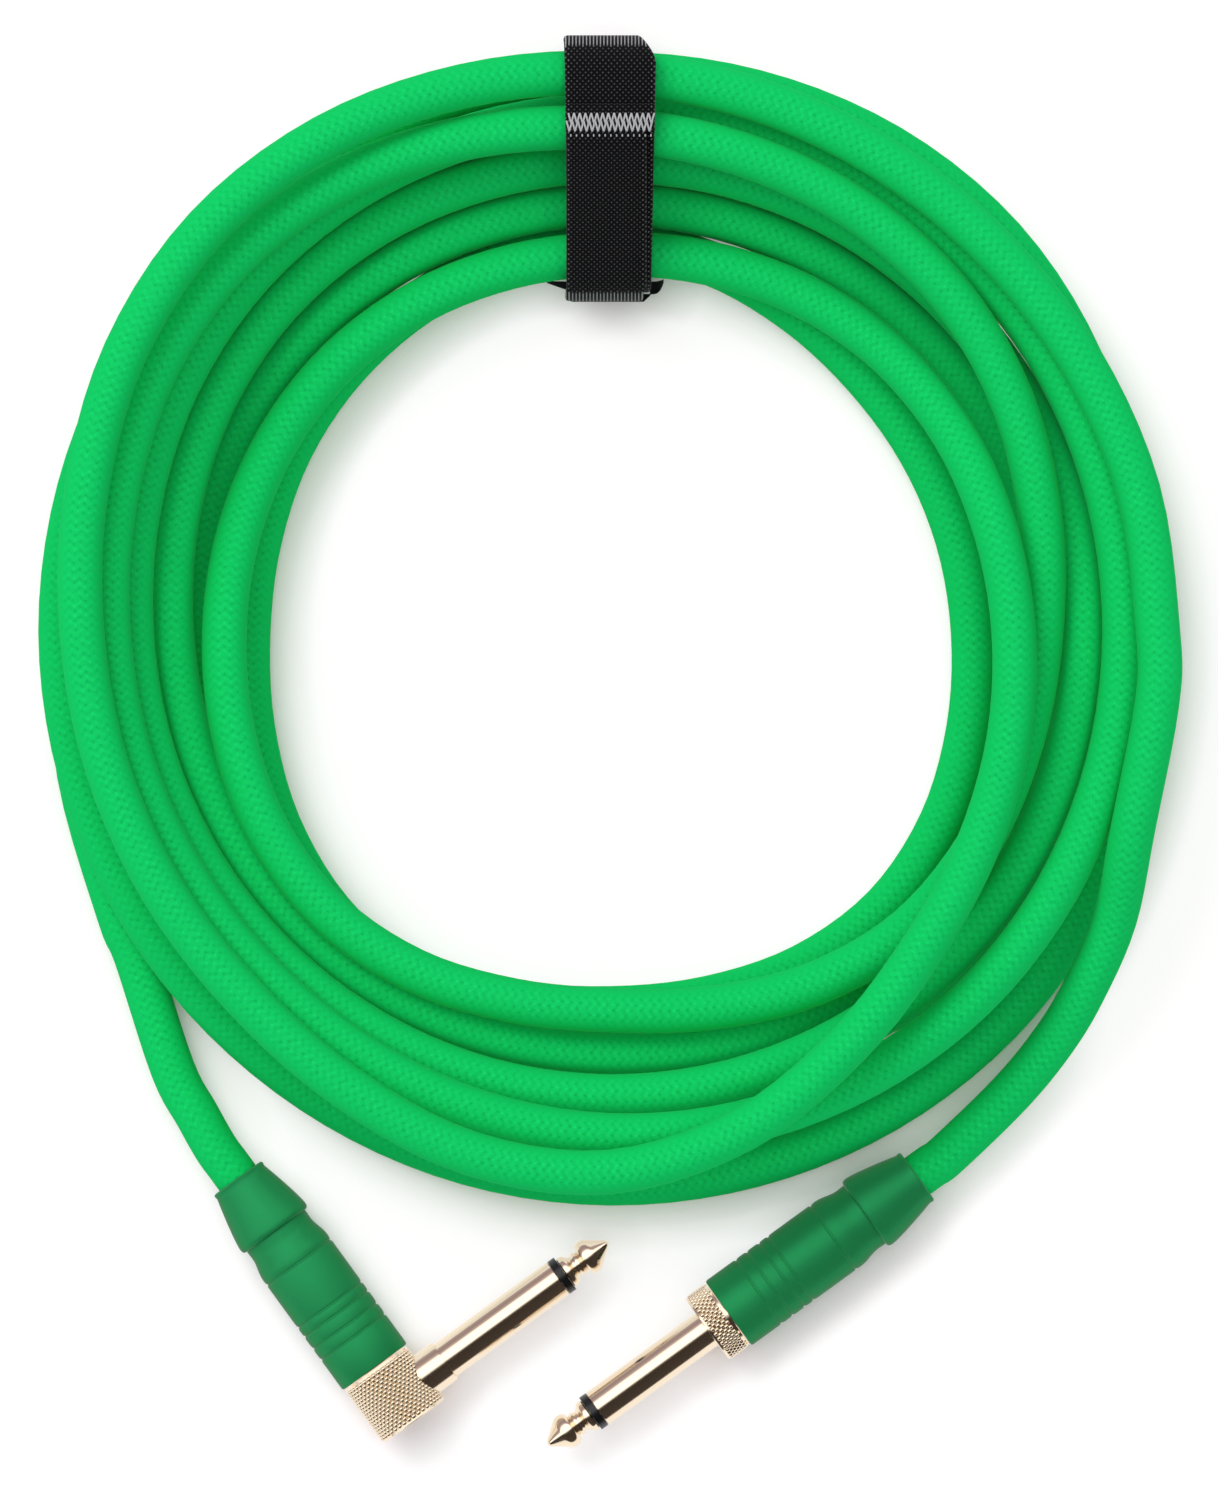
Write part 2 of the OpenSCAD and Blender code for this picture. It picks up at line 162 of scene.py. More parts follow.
def studio():
    """Pale surround; glossy rays see a softbox up left and a dark flag down right."""
    world = bpy.data.worlds.new("studio")
    bpy.context.scene.world = world
    world.use_nodes = True
    tree = world.node_tree
    tree.nodes.clear()
    ray = add(tree, "ShaderNodeTexCoord").outputs["Generated"]
    height = add(tree, "ShaderNodeSeparateXYZ", {0: ray}).outputs["Z"]
    side = add(tree, "ShaderNodeVectorMath", {0: ray, 1: CARD_SIDE},
               operation="DOT_PRODUCT").outputs["Value"]
    tilt = add(tree, "ShaderNodeMath", {0: side, 1: height}, operation="ARCTAN2")
    place = add(tree, "ShaderNodeMapRange", {"Value": tilt, "From Min": -math.pi,
                                             "From Max": math.pi})
    # place 0.5 is straight up, 0.75 the horizon up left, 0.25 the horizon down right
    cards = stops(add(tree, "ShaderNodeValToRGB", {0: place}),
                  (0.0, "#C6C2BE"), (0.235, "#C6C2BE"), (0.262, "#37312E"), (0.475, "#2D2724"),
                  (0.505, "#FFFFFF"), (0.61, "#FFFFFF"), (0.64, "#978A92"), (0.69, "#7D7278"),
                  (0.745, "#94898E"), (0.77, "#C6C2BE"))
    path = add(tree, "ShaderNodeLightPath")
    plain = add(tree, "ShaderNodeBackground", {0: WHITE, 1: SURROUND})
    shown = add(tree, "ShaderNodeBackground", {0: cards, 1: CARD_GLOW})
    white = add(tree, "ShaderNodeBackground", {0: WHITE, 1: 1.0})
    glossy = add(tree, "ShaderNodeMixShader",
                 {0: path.outputs["Is Glossy Ray"], 1: plain, 2: shown})
    seen = add(tree, "ShaderNodeMixShader",
               {0: path.outputs["Is Camera Ray"], 1: glossy, 2: white})
    add(tree, "ShaderNodeOutputWorld", {0: seen})


def lay_floor():
    """White paper floor: white to the eye and in metal, and it keeps part of the shadow.

    Its faint rose takes out the green that the cord throws on it.
    """
    bpy.ops.mesh.primitive_plane_add(size=6)
    floor = bpy.context.object
    floor.name = "floor"
    paper, tree, shader = start("white_paper", Base_Color=linear("#FFF8FA"), Roughness=1.0,
                                Specular_IOR_Level=0.0)
    path = add(tree, "ShaderNodeLightPath")
    # beside what lies on it, on the side away from the softbox, the paper keeps its own
    # shade, and so it does in slits between turns
    lit_way = add(tree, "ShaderNodeCombineXYZ", dict(zip("XYZ", SHADE_SIDE)))
    near = add(tree, "ShaderNodeAmbientOcclusion", {"Distance": SHADE_NEAR * M,
                                                    "Normal": lit_way}, samples=8)
    clear = add(tree, "ShaderNodeMapRange", {"Value": near.outputs["AO"], "From Min": 0.45,
                                             "From Max": 0.9})
    bright = add(tree, "ShaderNodeMath", {0: path.outputs["Is Camera Ray"], 1: clear,
                                          2: path.outputs["Is Glossy Ray"]},
                 operation="MULTIPLY_ADD")
    share = add(tree, "ShaderNodeMath", {0: bright, 1: GLOW_SHARE}, operation="MULTIPLY")
    glow = add(tree, "ShaderNodeEmission", {0: WHITE, 1: FLOOR_GLOW})
    mixed = add(tree, "ShaderNodeMixShader", {0: share, 1: shader, 2: glow})
    tree.links.new(mixed.outputs[0], tree.nodes["Material Output"].inputs[0])
    floor.data.materials.append(paper)


studio()
lay_floor()


# ---------------------------------------------------------------- materials

COLUMNS = 24                   # braid columns round the cord
BRAID_STEP = 1.5               # one V of the braid along the cord
THREAD_STEP = 0.92             # from loop to loop of the webbing
RIB_STEP = 0.56                # 0.42 on a real strap, drawn wider so that the ribs show

# Grains across a piece's own box, which is what a noise reads here. Only the braid's patches
# are wide enough to see one by one; the others soften a surface.
BRAID_GRAINS = 260.0
LINT_GRAINS = 900.0
BLAST_GRAINS = 2600.0
WEAR_GRAINS = 900.0


def woven(name, dark, light, open_light):
    """Nylon webbing: staggered raised loops on the strap's UV, ribs where the fold opens them."""
    material, tree, shader = start(name, Roughness=0.8, Specular_IOR_Level=0.12,
                                   Sheen_Weight=0.03, Sheen_Roughness=0.5)
    uv = add(tree, "ShaderNodeSeparateXYZ", {0: add(tree, "ShaderNodeUVMap", uv_map="strap")})
    waves = []
    for way, step in ((0, THREAD_STEP), (1, THREAD_STEP), (0, RIB_STEP)):
        turn = add(tree, "ShaderNodeMath", {0: uv.outputs[way], 1: FULL_TURN / step},
                   operation="MULTIPLY")
        waves.append(add(tree, "ShaderNodeMath", {0: turn}, operation="SINE"))
    raised = add(tree, "ShaderNodeMath", {0: waves[0], 1: waves[1]}, operation="MULTIPLY")
    folded = add(tree, "ShaderNodeAttribute", attribute_name="folded").outputs["Fac"]
    high = add(tree, "ShaderNodeMix", {"Factor": folded, 2: raised, 3: waves[2]})
    lint = add(tree, "ShaderNodeTexNoise", {"Scale": LINT_GRAINS, "Detail": 3.0})
    level = add(tree, "ShaderNodeMath", {0: high, 1: lint}, operation="MULTIPLY")
    # painted highlight: the webbing's edges are a little paler than the face, as where light
    # catches them
    edge = add(tree, "ShaderNodeAttribute", attribute_name="edge_highlight").outputs["Fac"]
    pale = add(tree, "ShaderNodeMapRange", {"Value": edge, "From Min": 0.93, "From Max": 0.97,
                                            "To Max": 0.1})
    raise_by = add(tree, "ShaderNodeMath", {0: folded, 1: 0.3, 2: pale},
                   operation="MULTIPLY_ADD")
    shine = add(tree, "ShaderNodeMath", {0: level, 1: raise_by})
    colour = stops(add(tree, "ShaderNodeValToRGB", {0: shine}),
                   (0.2, dark), (0.26, dark), (0.56, light), (0.85, open_light))
    tree.links.new(colour, shader.inputs["Base Color"])
    bump = add(tree, "ShaderNodeBump", {"Height": high, "Strength": 0.6, "Distance": 0.15 * M})
    tree.links.new(bump.outputs[0], shader.inputs["Normal"])
    return material


def jacket():
    """Clear PVC jacket over a bright green braid: soft satin skin, faint threads below it."""
    material, tree, shader = start("clear_pvc_over_green_braid", Roughness=0.45,
                                   Coat_Weight=0.02, Coat_Roughness=0.2,
                                   Specular_IOR_Level=0.0, Sheen_Weight=0.14,
                                   Sheen_Roughness=0.25, Sheen_Tint=linear("#50FFA0"))
    # UV: X counts braid columns round the cord, Y is millimetres along it
    uv = add(tree, "ShaderNodeSeparateXYZ", {0: add(tree, "ShaderNodeUVMap", uv_map="cord")})
    # threads climb in one column and fall in the next: a herringbone
    column = add(tree, "ShaderNodeMath", {0: uv, 1: 1.0}, operation="PINGPONG")
    climb = add(tree, "ShaderNodeMath", {0: column, 1: 0.75, 2: uv.outputs[1]},
                operation="MULTIPLY_ADD")
    turns = add(tree, "ShaderNodeMath", {0: climb, 1: FULL_TURN / BRAID_STEP},
                operation="MULTIPLY")
    thread = add(tree, "ShaderNodeMath", {0: turns}, operation="SINE")
    # painted light: the round jacket, lit from above, shows the threads along its crest, 6
    # columns up, and only faintly on its sides
    turned = add(tree, "ShaderNodeMath", {0: uv, 1: FULL_TURN / COLUMNS, 2: -math.pi / 2},
                 operation="MULTIPLY_ADD")
    upward = add(tree, "ShaderNodeMath", {0: turned}, operation="COSINE")
    crest = add(tree, "ShaderNodeMapRange", {"Value": upward, "From Min": 0.6,
                                             "From Max": 0.96, "To Min": 0.1})
    cloud = add(tree, "ShaderNodeTexNoise", {"Scale": BRAID_GRAINS, "Detail": 2.0})
    clear = add(tree, "ShaderNodeMapRange", {"Value": cloud, "From Min": 0.36,
                                             "From Max": 0.62})
    shown = add(tree, "ShaderNodeMath", {0: crest, 1: clear}, operation="MULTIPLY")
    # crossing threads make knots down the middle of each column
    middle = add(tree, "ShaderNodeMath", {0: uv, 1: FULL_TURN}, operation="MULTIPLY")
    ridge = add(tree, "ShaderNodeMath", {0: middle}, operation="COSINE")
    knot = add(tree, "ShaderNodeMapRange", {"Value": ridge, "From Min": -1.0, "To Min": 0.25})
    bead = add(tree, "ShaderNodeMath", {0: thread, 1: knot}, operation="MULTIPLY")
    # the braid's pattern, strong on the lit crest and faint elsewhere
    patch = add(tree, "ShaderNodeMath", {0: bead, 1: shown}, operation="MULTIPLY")
    level = add(tree, "ShaderNodeMapRange", {"Value": patch, "From Min": -1.0})
    colour = stops(add(tree, "ShaderNodeValToRGB", {0: level}),
                   (0.1, "#10B65A"), (0.5, "#13C964"), (0.95, "#18D46E"))
    tree.links.new(colour, shader.inputs["Base Color"])
    return material


def mottle(tree, shader, grain, low, high, strength, deep):
    """Two shades and a fine bump, deep in millimetres, that follow the same grain."""
    colour = stops(add(tree, "ShaderNodeValToRGB", {0: grain}), low, high)
    tree.links.new(colour, shader.inputs["Base Color"])
    bump = add(tree, "ShaderNodeBump", {"Height": grain, "Strength": strength,
                                        "Distance": deep * M})
    tree.links.new(bump.outputs[0], shader.inputs["Normal"])


def anodised():
    """Satin anodised aluminium: green oxide over metal, with a fine grain."""
    material, tree, shader = start("anodised_aluminium", Metallic=0.35, Roughness=0.4,
                                   Specular_IOR_Level=0.12,
                                   Specular_Tint=linear("#0E5A30"))
    grain = add(tree, "ShaderNodeTexNoise", {"Scale": BLAST_GRAINS, "Detail": 3.0})
    mottle(tree, shader, grain, (0.3, "#22884E"), (0.7, "#2C965A"), 0.25, 0.02)
    return material


def gold_plate():
    """Pale gold plate on polished brass: mirror bright, with slight wear in its gloss."""
    material, tree, shader = start("gold_plate", Metallic=1.0, Roughness=0.14)
    wear = add(tree, "ShaderNodeTexNoise", {"Scale": WEAR_GRAINS, "Detail": 4.0})
    colour = stops(add(tree, "ShaderNodeValToRGB", {0: wear}),
                   (0.35, "#F2DFC2"), (0.7, "#F8E9D2"))
    # painted shade: the knurl's valleys are darkened brown, where its points shade them
    valley_shade = add(tree, "ShaderNodeAttribute", attribute_name="valley_shade").outputs["Fac"]
    shaded_gold = add(tree, "ShaderNodeMix", {"Factor": valley_shade, "A": colour, "B": linear("#86632A")},
               data_type="RGBA")
    tree.links.new(shaded_gold.outputs["Result"], shader.inputs["Base Color"])
    gloss = add(tree, "ShaderNodeMapRange", {"Value": wear, "To Min": 0.1, "To Max": 0.18})
    tree.links.new(gloss.outputs[0], shader.inputs["Roughness"])
    return material


def plain_finish(name, low, high, grains, **values):
    """Moulded or drawn stock with a slight mottle."""
    material, tree, shader = start(name, **values)
    grain = add(tree, "ShaderNodeTexNoise", {"Scale": grains, "Detail": 3.0})
    mottle(tree, shader, grain, (0.35, low), (0.7, high), 0.15, 0.03)
    return material


FINISH = {
    "cord_jacket": jacket(),
    "anodised_shell": anodised(),
    "gold_plate": gold_plate(),
    # moulded ABS: near black, with a soft gloss
    "black_plastic": plain_finish("black_abs", "#0C0C0E", "#161618", 1500.0, Roughness=0.3),
    # stamped brass under tin: pale grey metal, a little dull
    "inner_metal": plain_finish("tinned_brass", "#B4B4AE", "#C6C6C0", 1800.0, Metallic=1.0,
                                Roughness=0.32),
    # extruded polyethylene: milky, waxy
    "core_insulation": plain_finish("polyethylene", "#E4DED0", "#EEE9DD", 1200.0,
                                    Roughness=0.5),
    # drawn copper strands, twisted: bright and warm
    "copper_screen": plain_finish("bare_copper", "#B87346", "#CF8A5C", 3000.0, Metallic=1.0,
                                  Roughness=0.3),
    # pressed paper: buff and dull
    "liner_paper": plain_finish("pressed_paper", "#D6CFBC", "#E2DCCB", 1400.0,
                                Roughness=0.85),
    "strap_fabric": woven("nylon_loop_webbing", "#09090B", "#5E5E62", "#B4B4B8"),
    # spun nylon thread: pale grey with a slight bloom
    "strap_woven_end": plain_finish("nylon_sewing_thread", "#A2A2A6", "#CECED2", 2500.0,
                                    Roughness=0.6, Sheen_Weight=0.2),
}
SLOT = {part["node"]: part["material_slot"] for part in frame["record"]["subparts"]}


def dress(node):
    """Give a carried-over node its finish."""
    for holder in frame["nodes"][node].material_slots:
        holder.material = FINISH[SLOT[node]]


def coat(piece, slot):
    """Give a new piece the finish of a slot, and no other."""
    piece.data.materials.clear()
    piece.data.materials.append(FINISH[slot])


# ---------------------------------------------------------------- cord route

CORD = 7.2                     # diameter
CORD_R = CORD / 2
TURN_STEP = 8.0                # least distance between the middle lines of two turns
HOME = Vector((5.77, 17.84, 0))  # middle of the coil
AXIS_Z = 6.5                   # height of the plugs' axes
TIE = 1.2                      # thickness of the strap
SLACK = 0.4                    # between the cord and the strap
RINGS = 24                     # places along the cord in one turn
FIRST = 240                    # clock angle of the first place
LAST = 206                     # number of the last place
# how far the coil reaches out at each 45 degrees of the clock, counted on from 180
REACH = [112, 95.2, 87, 88, 89, 87, 87, 89,
         89, 88.2, 88.6, 88.8, 89.9, 89.6, 82.5, 77.5,
         67.7, 63.8, 58.4, 60.4, 62.9, 58.3, 58.6, 62.7,
         60.7, 64.8, 66.5, 68.5, 69, 69.5, 72, 71,
         67.9, 68.5, 70.6, 75.2, 75.9, 76.3, 76.2, 75.6,
         74.8, 75, 77, 81.6, 83.3, 83.6, 82.8, 83,
         81, 78.6, 80.6, 85.3, 80.8, 77.2, 69.4, 67.8,
         60.9, 64, 62.1, 61.8, 60.9, 63.4, 64.9, 71.4,
         86.8, 83, 84.8, 91.7, 89.8, 87.2, 88.1, 85.5]
# points of the leads, from the middle of the coil
STRAIGHT_LEAD = [(84.1, -31.8, 24), (81.3, -46.2, 17), (76.4, -57.7, 12.5), (71.6, -65.8, 9.2),
                 (64.8, -74.2, 7.2)]
ANGLED_LEAD = [(-70.6, -70.5, 5), (-66.6, -78, 6.2)]


def spline(a, b, c, d, t):
    """From b at t = 0 to c at t = 1, with a before them and d after."""
    return 0.5 * (2 * b + (c - a) * t + (2 * a - 5 * b + 4 * c - d) * t * t
                  + (3 * b - a - 3 * c + d) * t * t * t)


def pick(values, i):
    """The value at i, or the nearest one past an end."""
    return values[min(max(i, 0), len(values) - 1)]


def clock(i):
    """Clock angle of place i, in degrees."""
    return FIRST + 360 * i / RINGS


def reach(i):
    """Distance of place i from the coil's middle."""
    t = (clock(i) - 180) / 45
    k = math.floor(t)
    return spline(pick(REACH, k - 1), pick(REACH, k), pick(REACH, k + 1), pick(REACH, k + 2),
                  t - k)


def spot(i):
    """Place i of the coil, from its middle."""
    a = math.radians(clock(i))
    return Vector((reach(i) * math.sin(a), reach(i) * math.cos(a), 0))


def bed(i):
    """Height of a cord on the floor, lifted over the strap's lower layer."""
    away = limit((abs((clock(i) + 180) % 360 - 180) - 8) / 30)
    return CORD_R + (TIE + SLACK) * (1 + math.cos(math.pi * away)) / 2


def lying(z, i):
    """Height at place i of a cord that bridges the dips beside it."""
    def high(k):
        return max(pick(z, k - 1), pick(z, k), pick(z, k + 1))
    return (high(i - 1) + 2 * high(i) + high(i + 1)) / 4


def pile():
    """Each turn rests on the floor or on the turns laid before it."""
    z = []
    for i in range(LAST + 1):
        level = bed(i)
        for j in range(i - RINGS, -1, -RINGS):
            apart = abs(reach(i) - reach(j))
            if apart < TURN_STEP:
                level = max(level, lying(z, j) + math.sqrt(TURN_STEP ** 2 - apart ** 2))
        z.append(level)
    return [lying(z, i) for i in range(LAST + 1)]


def smooth(points, steps):
    """Curve through the points."""
    out = []
    for i in range(len(points) - 1):
        for k in range(steps):
            out.append(spline(pick(points, i - 1), points[i], points[i + 1],
                              pick(points, i + 2), k / steps))
    return out + [points[-1]]


def heading(degrees):
    """The way that a plug points, counted from +X."""
    a = math.radians(degrees)
    return Vector((math.cos(a), math.sin(a), 0))


PLUGS = {"straight": (HOME + Vector((49.6, -87.8, AXIS_Z)), heading(216)),
         "angled": (HOME + Vector((-60.1, -88.1, AXIS_Z)), heading(-54))}
CORD_DEPTH = 20.5              # how far the cord runs into a plug


def cord_route():
    """Whole cord, from inside the right-angle plug, round the coil, into the straight plug."""
    heights = pile()
    coil = [HOME + spot(i) + UP * heights[i] for i in range(LAST + 1)]
    tail_in = (spot(0.01) - spot(-0.01)).normalized()
    tail_out = (spot(LAST + 0.01) - spot(LAST - 0.01)).normalized()
    start_rear, start_way = PLUGS["angled"]
    end_rear, end_way = PLUGS["straight"]
    route = [start_rear + start_way * CORD_DEPTH, start_rear + start_way * 8,
             start_rear - start_way * 2, start_rear - start_way * 6]
    route += [HOME + Vector(p) for p in reversed(ANGLED_LEAD)]
    route += [coil[0] - tail_in * CORD] + coil + [coil[-1] + tail_out * CORD * 1.6]
    route += [HOME + Vector(p) for p in STRAIGHT_LEAD]
    route += [end_rear - end_way * 6, end_rear - end_way * 2, end_rear + end_way * 8,
              end_rear + end_way * CORD_DEPTH]
    return [Vector((p.x, p.y, max(p.z, CORD_R))) for p in smooth(route, 5)]


def tube(name, centres, radius, sides, columns):
    """Round tube along the centres, with a UV of braid columns round and mm along."""
    verts, faces, run = [], [], [0.0]
    for a, b in zip(centres, centres[1:]):
        run.append(run[-1] + (b - a).length)
    for i, centre in enumerate(centres):
        ahead = (pick(centres, i + 1) - pick(centres, i - 1)).normalized()
        side = UP.cross(ahead).normalized()
        up = ahead.cross(side)
        for k in range(sides):
            a = FULL_TURN * k / sides
            verts.append((centre + (side * math.cos(a) + up * math.sin(a)) * radius) * M)
    for i in range(len(centres) - 1):
        for k in range(sides):
            a, b = i * sides + k, i * sides + (k + 1) % sides
            faces.append((a, b, b + sides, a + sides))
    walls = len(faces)
    faces.append(tuple(reversed(range(sides))))
    faces.append(tuple(range(len(verts) - sides, len(verts))))
    mesh = bpy.data.meshes.new(name)
    mesh.from_pydata(verts, [], faces)
    layer = mesh.uv_layers.new(name="cord")
    for number, face in enumerate(mesh.polygons):
        face.use_smooth = number < walls
        if number < walls:
            i, k = divmod(number, sides)
            corners = ((k, i), (k + 1, i), (k + 1, i + 1), (k, i + 1))
            for loop, (turn, ring) in zip(face.loop_indices, corners):
                layer.data[loop].uv = (turn * columns / sides, run[ring])
    return put(name, mesh), run[-1]


ROUTE = cord_route()
cord, cord_mm = tube("cord", ROUTE, CORD_R, 24, COLUMNS)
# its green stays out of the gold's reflections
cord.visible_glossy = False
coat(cord, "cord_jacket")
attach(cord, "cable")
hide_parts("cord_coil", "cord_straight_lead", "cord_angled_lead")


# ---------------------------------------------------------------- turned pieces

# stations along a plug's axis, from the end of its boot
BOOT_LEN = 10.5
SHELL_AT = 10.6
LEDGE_AT = 14.3                # step in the shell's bore
THREAD_AT = 31.7
FRONT_AT = 37.7                # front of the shell
COLLAR_AT = 37.8
COLLAR_END = COLLAR_AT + 4.2
HEAD_END = COLLAR_AT + 10.7
GROOVES = (6.2, 14.7, 16.5, 18.9, 21.1)  # from the shell's back
# radii
SHELL_R, WAIST_R, INNER_R, SPIGOT_R = 6.4, 5.8, 5.4, 4.6
THREAD_R = 5.05                # foot of the thread
THREAD_PITCH, THREAD_TURNS = 1.0, 4
KNURL_R, KNURL_DEPTH = 6.15, 0.28
CORE_R = KNURL_R - KNURL_DEPTH - 0.02
RIM_R = CORE_R + 0.16
RIM_FLOOR, BRIDGE_FOOT = 5.6, 5.5
JACK_R, STEM_R, TUBE_BORE = 3.175, 2.925, 2.05
COLLAR_BORE = STEM_R + 0.05
HEAD_BORE, STEP_R = 4.2, 3.65
ROD_R, RING_BORE, RING_R = 1.2, 1.25, 3.165
# widths along the axis, and counts round it
RIM, FRONT_RIM, BRIDGE = 0.6, 0.5, 0.32
RING_LEN, RING_GAP = 1.25, 0.05
TEETH, SLOTS, ROUND_STEPS = 38, 10, 96
CREASE = 32                    # degrees between faces from which an edge stays hard
# the right-angle plug's shank, from the front of its shell; its foot, from the plug's axis
SHANK_AT = 5.8
FOOT_FROM, STEP_REACH = 4.8, 9.8
# along each jack's own axis: back, shoulder and front of the sleeve, and back of the rod
JACK = {"straight": (THREAD_AT + 1, 42.05, 63.9, 27.65),
        "angled": (HEAD_BORE - 0.6, 9.85, 32.4, 1.1)}


def ease(a, b, t):
    """From a to b in a soft S."""
    return a + (b - a) * (1 - math.cos(math.pi * t)) / 2


def clear_selection():
    if bpy.context.object and bpy.context.object.mode != "OBJECT":
        bpy.ops.object.mode_set(mode="OBJECT")
    bpy.ops.object.select_all(action="DESELECT")


def pick_out(*pieces):
    """Select the pieces alone; the first is the active one."""
    clear_selection()
    for piece in pieces:
        piece.select_set(True)
    bpy.context.view_layer.objects.active = pieces[0]


def open_all():
    """Edit the active mesh, with all of it selected."""
    bpy.ops.object.mode_set(mode="EDIT")
    bpy.ops.mesh.select_all(action="SELECT")


def close_smooth(degrees):
    """Leave edit mode, with edges sharper than the angle left hard."""
    bpy.ops.object.mode_set(mode="OBJECT")
    bpy.ops.object.shade_smooth_by_angle(angle=math.radians(degrees))


def weld(threshold_mm):
    """Join doubled points of the whole mesh and turn its faces outwards."""
    bpy.ops.mesh.select_all(action="SELECT")
    bpy.ops.mesh.remove_doubles(threshold=threshold_mm * M)
    bpy.ops.mesh.normals_make_consistent(inside=False)


def spin(base, way, steps, angle=FULL_TURN, dupli=False):
    """Turn the whole mesh, or copies of it, about an axis."""
    bpy.ops.mesh.select_all(action="SELECT")
    bpy.ops.mesh.spin(steps=steps, dupli=dupli, angle=angle, center=base * M, axis=way)


def draw(name, points):
    """A line through the points, left open in edit mode."""
    clear_selection()
    bpy.ops.mesh.primitive_plane_add(size=1 * M)
    piece = bpy.context.object
    piece.name = name
    open_all()
    bpy.ops.mesh.merge(type="CENTER")
    points = [point * M for point in points]
    bpy.ops.transform.translate(value=points[0])
    for a, b in zip(points, points[1:]):
        bpy.ops.mesh.extrude_region_move(TRANSFORM_OT_translate={"value": b - a})
    return piece


def small_plane(name, middle, facing):
    """A square of 1 mm at a place."""
    clear_selection()
    bpy.ops.mesh.primitive_plane_add(size=1 * M, location=middle * M, rotation=facing)
    made = bpy.context.object
    made.name = name
    bpy.ops.object.transform_apply(location=True, rotation=True, scale=True)
    return made


def lathe(name, base, way, profile):
    """Turn a profile of (station, radius) about a plug's axis; returns the finished object."""
    piece = draw(name, [base + way * s + UP * r for s, r in profile])
    spin(base, way, ROUND_STEPS)
    weld(0.004)
    close_smooth(CREASE)
    return piece


def apply_all(piece):
    """Make the piece's modifiers part of its mesh."""
    pick_out(piece)
    for modifier in list(piece.modifiers):
        bpy.ops.object.modifier_apply(modifier=modifier.name)


def repeat(piece, count, offset):
    """Copies of the piece in a row, as one mesh."""
    row = piece.modifiers.new("row", "ARRAY")
    row.count = count
    row.use_relative_offset = False
    row.use_constant_offset = True
    row.constant_offset_displace = offset * M
    apply_all(piece)


def open_first():
    """Go on in edit mode, all of it selected, with a piece that was added in object mode."""
    if bpy.context.object.mode != "EDIT":
        bpy.ops.object.transform_apply(location=True, rotation=True, scale=True)
        open_all()


def dome(foot, side, way, out, wide):
    """One rounded point of the knurl, with its foot in the core."""
    facing = Matrix((side, way, out)).transposed().to_euler()
    bpy.ops.mesh.primitive_circle_add(vertices=8, radius=0.5 * wide * M, fill_type="NGON",
                                      location=foot * M, rotation=facing)
    open_first()
    for rise, shrink in ((0.18, 0.8), (0.11, 0.66), (0.05, 0.45)):
        foot = foot + out * rise
        bpy.ops.mesh.extrude_region_move(TRANSFORM_OT_translate={"value": out * rise * M})
        bpy.ops.transform.resize(value=(shrink, shrink, shrink),
                                 center_override=tuple(foot * M))


def knurl(name, base, way, start_at, end_at):
    """Diamond knurl: one worn point, turned about the axis and repeated along it."""
    clear_selection()
    cell = FULL_TURN * CORE_R / TEETH
    rows = int((end_at - start_at) / cell)
    cell_long = (end_at - start_at) / rows
    side = UP.cross(way)
    for half in (0, 1):
        turn = Matrix.Rotation(math.pi * half / TEETH, 3, way)
        out = turn @ UP
        dome(base + way * (start_at + cell_long * (0.25 + 0.5 * half)) + out * (CORE_R - 0.01),
             turn @ side, way, out, 0.94 * cell)
    made = bpy.context.object
    made.name = name
    spin(base, way, TEETH, dupli=True)
    weld(0.001)
    close_smooth(60)
    repeat(made, rows, way * cell_long)
    return made


def mark(mesh, name, values):
    """Store a number for each point of a mesh."""
    layer = mesh.attributes.new(name, "FLOAT", "POINT")
    for spot_mark, value in zip(layer.data, values):
        spot_mark.value = value


def mark_valley_shade(piece, base, way, start_at, end_at, painted_shade):
    """Write how much painted shade each point of the knurl gets: all of it between its points,
    where they shade each other.
    """
    held = []
    for vertex in piece.data.vertices:
        from_base = vertex.co / M - base
        along = from_base.dot(way)
        low = (from_base - way * along).length < CORE_R + 0.05
        held.append(painted_shade if start_at < along < end_at and low else 0.0)
    mark(piece.data, "valley_shade", held)
    return piece


def join(name, *pieces):
    """One object of several."""
    pick_out(*pieces)
    bpy.ops.object.join()
    pieces[0].name = name
    return pieces[0]


def seat_piece(piece, body, node):
    """Dress a piece that stands for a node and let it ride with its body."""
    coat(piece, SLOT[node])
    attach(piece, body)
    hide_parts(node)
    return piece


def tip_profile(at, rod_from):
    """Turned tip: flare, waist, bulb and point, with the rod behind."""
    points = [(rod_from, 0), (rod_from, ROD_R), (at, ROD_R)]
    points += [(at, 2.45), (at + 0.12, 2.68), (at + 0.35, 2.76)]
    points += [(at + 0.7 + 1.3 * i / 10, ease(2.74, 1.78, i / 10)) for i in range(11)]
    # bead in the neck
    points += [(at + 2.2, 1.84), (at + 2.4, 2.02), (at + 2.65, 2.08), (at + 2.9, 2.0),
               (at + 3.1, 1.8), (at + 3.25, 1.76)]
    # round back of the bulb, its crown, and the start of the cone
    points += [(at + 4.5 - 1.2 * math.cos(a), 1.85 + 1.1 * math.sin(a))
               for a in (math.pi / 2 * k / 8 for k in range(9))]
    points += [(at + 4.85, 2.94), (at + 5.2, 2.86), (at + 5.5, 2.7), (at + 5.8, 2.46)]
    points += [(at + 7.9, 0.82), (at + 8.12, 0.66), (at + 8.3, 0.47), (at + 8.44, 0.24),
               (at + 8.5, 0)]
    return points


def sleeve_profile(start_at, shoulder, end_at):
    """Sleeve with a thinner stem behind its shoulder, its front edge rounded."""
    return [(start_at, TUBE_BORE), (start_at, STEM_R), (shoulder, STEM_R), (shoulder, JACK_R),
            (end_at - 0.25, JACK_R), (end_at - 0.08, JACK_R - 0.06), (end_at, JACK_R - 0.2),
            (end_at, TUBE_BORE), (start_at, TUBE_BORE)]


